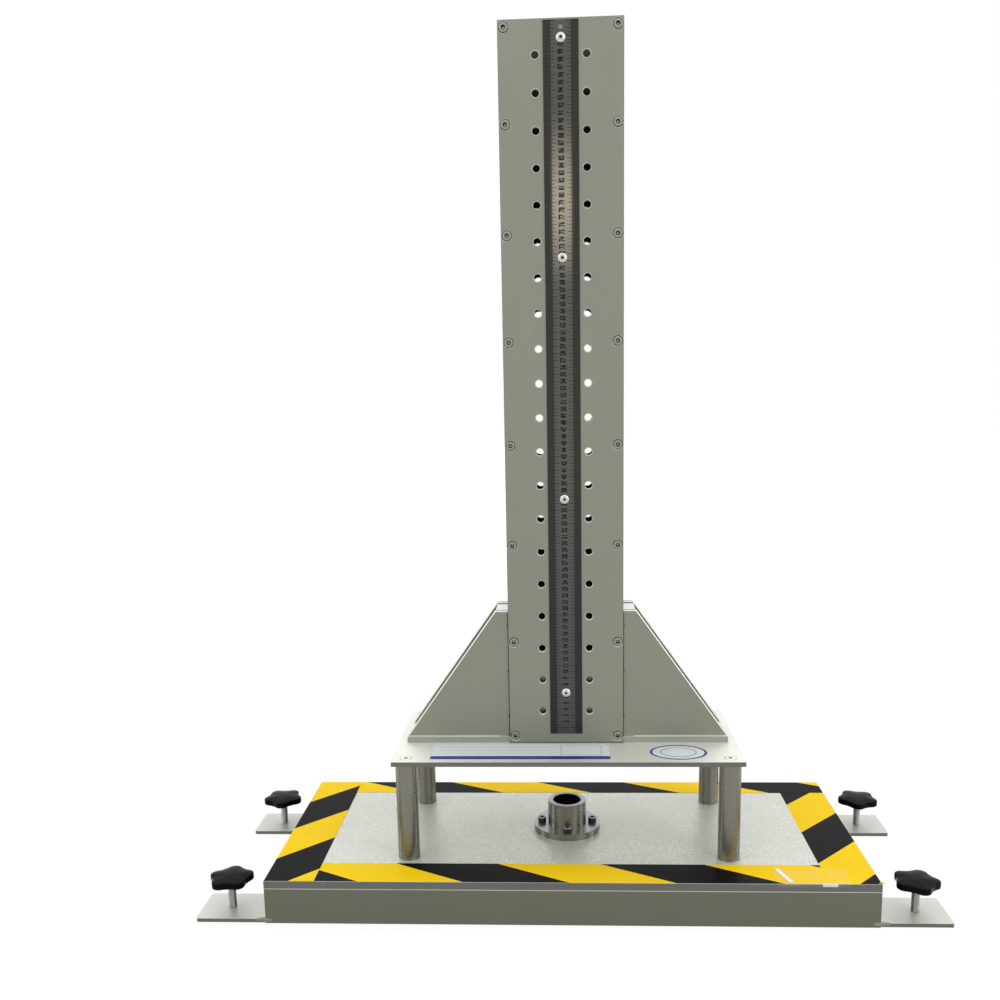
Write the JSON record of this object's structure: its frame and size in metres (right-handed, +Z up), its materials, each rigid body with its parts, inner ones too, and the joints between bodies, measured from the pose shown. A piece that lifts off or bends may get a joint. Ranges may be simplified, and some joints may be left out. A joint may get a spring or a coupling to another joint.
{
  "type": "falling weight impact tester",
  "caption": "Falling weight impact tester: a drilled drop tower with a steel rule on a raised platform, over a flanged anvil bush on a levelled plinth.",
  "frame": {"origin": "on the floor, in the middle of the plinth and under the axis of the anvil bush", "axes": "+Z up; -Y is the front, the side with the rule; +X is to the right as seen from the front"},
  "size_m": [1.104, 0.381, 1.2741],
  "materials": {
    "base_paint": "satin, finely textured",
    "platform_paint": "satin",
    "tower_paint": "satin",
    "turned_steel": "turned or milled",
    "rule_steel": "satin with engraved graduations",
    "bright_steel": "bright zinc",
    "black_steel": "black oxide",
    "knob_plastic": "gloss",
    "nylon": "matte",
    "rubber": "matte"
  },
  "bodies": {
    "tester": {"base_top_plate": "base_paint", "front_rail": "base_paint", "rear_rail": "base_paint", "left_rail": "base_paint", "right_rail": "base_paint", "cross_rail_left": "base_paint", "cross_rail_right": "base_paint", "anvil_block": "base_paint", "foot_plate_front_left": "turned_steel", "foot_plate_front_right": "turned_steel", "foot_plate_rear_left": "turned_steel", "foot_plate_rear_right": "turned_steel", "anvil_bush": "turned_steel", "bush_screws": "black_steel", "column_front_left": "turned_steel", "column_front_right": "turned_steel", "column_rear_left": "turned_steel", "column_rear_right": "turned_steel", "column_top_screws": "black_steel", "column_foot_bolts": "black_steel", "platform_plate": "platform_paint", "tower_front_plate": "tower_paint", "tower_rear_plate": "tower_paint", "tower_side_left": "tower_paint", "tower_side_right": "tower_paint", "front_plate_screws": "black_steel", "rear_plate_screws": "black_steel", "steel_rule": "rule_steel", "rule_screws": "bright_steel", "gusset_front_left": "tower_paint", "gusset_front_right": "tower_paint", "gusset_rear_left": "tower_paint", "gusset_rear_right": "tower_paint", "gusset_cap_left": "tower_paint", "gusset_cap_right": "tower_paint", "gusset_foot_left": "platform_paint", "gusset_foot_right": "platform_paint", "buffer_pad": "rubber"},
    "drop_weight": {"falling_weight": "turned_steel", "striker": "turned_steel", "guide_shoe_left": "nylon", "guide_shoe_right": "nylon", "lifting_eye": "turned_steel"},
    "stud_front_left": {"levelling_stud_front_left": "bright_steel"},
    "knob_front_left": {"star_knob_front_left": "knob_plastic"},
    "stud_front_right": {"levelling_stud_front_right": "bright_steel"},
    "knob_front_right": {"star_knob_front_right": "knob_plastic"},
    "stud_rear_left": {"levelling_stud_rear_left": "bright_steel"},
    "knob_rear_left": {"star_knob_rear_left": "knob_plastic"},
    "stud_rear_right": {"levelling_stud_rear_right": "bright_steel"},
    "knob_rear_right": {"star_knob_rear_right": "knob_plastic"}
  },
  "joints": [
    {"name": "weight_slide", "type": "slide", "parent": "tester", "child": "drop_weight", "axis": [0, 0, 1], "range_m": [0, 0.992]},
    {"name": "lift_front_left", "type": "slide", "parent": "tester", "child": "stud_front_left", "axis": [0, 0, 1], "range_m": [-0.02975, 0.0035]},
    {"name": "turn_front_left", "type": "hinge", "parent": "stud_front_left", "child": "knob_front_left", "pos_m": [-0.508, -0.151, 0], "axis": [0, 0, 1], "range_deg": [-6120, 720]},
    {"name": "lift_front_right", "type": "slide", "parent": "tester", "child": "stud_front_right", "axis": [0, 0, 1], "range_m": [-0.02975, 0.0035]},
    {"name": "turn_front_right", "type": "hinge", "parent": "stud_front_right", "child": "knob_front_right", "pos_m": [0.508, -0.151, 0], "axis": [0, 0, 1], "range_deg": [-6120, 720]},
    {"name": "lift_rear_left", "type": "slide", "parent": "tester", "child": "stud_rear_left", "axis": [0, 0, 1], "range_m": [-0.02975, 0.0035]},
    {"name": "turn_rear_left", "type": "hinge", "parent": "stud_rear_left", "child": "knob_rear_left", "pos_m": [-0.508, 0.151, 0], "axis": [0, 0, 1], "range_deg": [-6120, 720]},
    {"name": "lift_rear_right", "type": "slide", "parent": "tester", "child": "stud_rear_right", "axis": [0, 0, 1], "range_m": [-0.02975, 0.0035]},
    {"name": "turn_rear_right", "type": "hinge", "parent": "stud_rear_right", "child": "knob_rear_right", "pos_m": [0.508, 0.151, 0], "axis": [0, 0, 1], "range_deg": [-6120, 720]}
  ],
  "couplings": [
    {"joint": "turn_front_left", "follows": "lift_front_left", "rad_per_m": 3590.4},
    {"joint": "turn_front_right", "follows": "lift_front_right", "rad_per_m": 3590.4},
    {"joint": "turn_rear_left", "follows": "lift_rear_left", "rad_per_m": 3590.4},
    {"joint": "turn_rear_right", "follows": "lift_rear_right", "rad_per_m": 3590.4}
  ]
}
